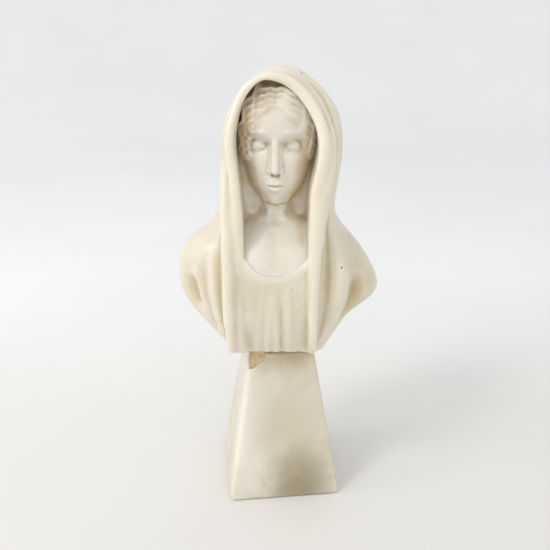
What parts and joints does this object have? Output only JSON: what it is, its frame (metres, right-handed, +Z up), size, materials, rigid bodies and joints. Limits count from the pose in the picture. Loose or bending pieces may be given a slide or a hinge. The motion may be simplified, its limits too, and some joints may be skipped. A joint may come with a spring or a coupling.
{
  "type": "marble bust",
  "caption": "Veiled bust of alabaster and marble on a tapered square stone pedestal, joined by a hidden rod and nut.",
  "frame": {"origin": "centre of the square foot of the pedestal, on the plane that the bust stands on", "axes": "+Z up; -Y is the front face of the pedestal and, within a few degrees, where the bust faces; +X is to the right of someone who faces the bust"},
  "size_m": [0.1484, 0.0913, 0.3224],
  "materials": {
    "torso_alabaster": "polished cream alabaster, slightly translucent",
    "head_marble": "satin white marble",
    "pedestal_alabaster": "polished grey-cream alabaster with a grey-brown cloud",
    "aged_mastic": "old amber-brown mastic",
    "plaster": "poured plaster, scraped flat",
    "rod_steel": "dull, lightly rusted steel",
    "dowel_brass": "drawn brass rod"
  },
  "bodies": {
    "root": {"pedestal": "pedestal_alabaster", "joint_mastic": "aged_mastic", "fixing_rod": "rod_steel", "rod_washer": "rod_steel", "rod_nut": "rod_steel", "pedestal_plaster_plug": "plaster", "rod_anchor_plaster": "plaster", "veiled_torso": "torso_alabaster", "head_and_chest": "head_marble", "head_plaster_bed": "plaster", "head_dowel": "dowel_brass"}
  },
  "joints": []
}
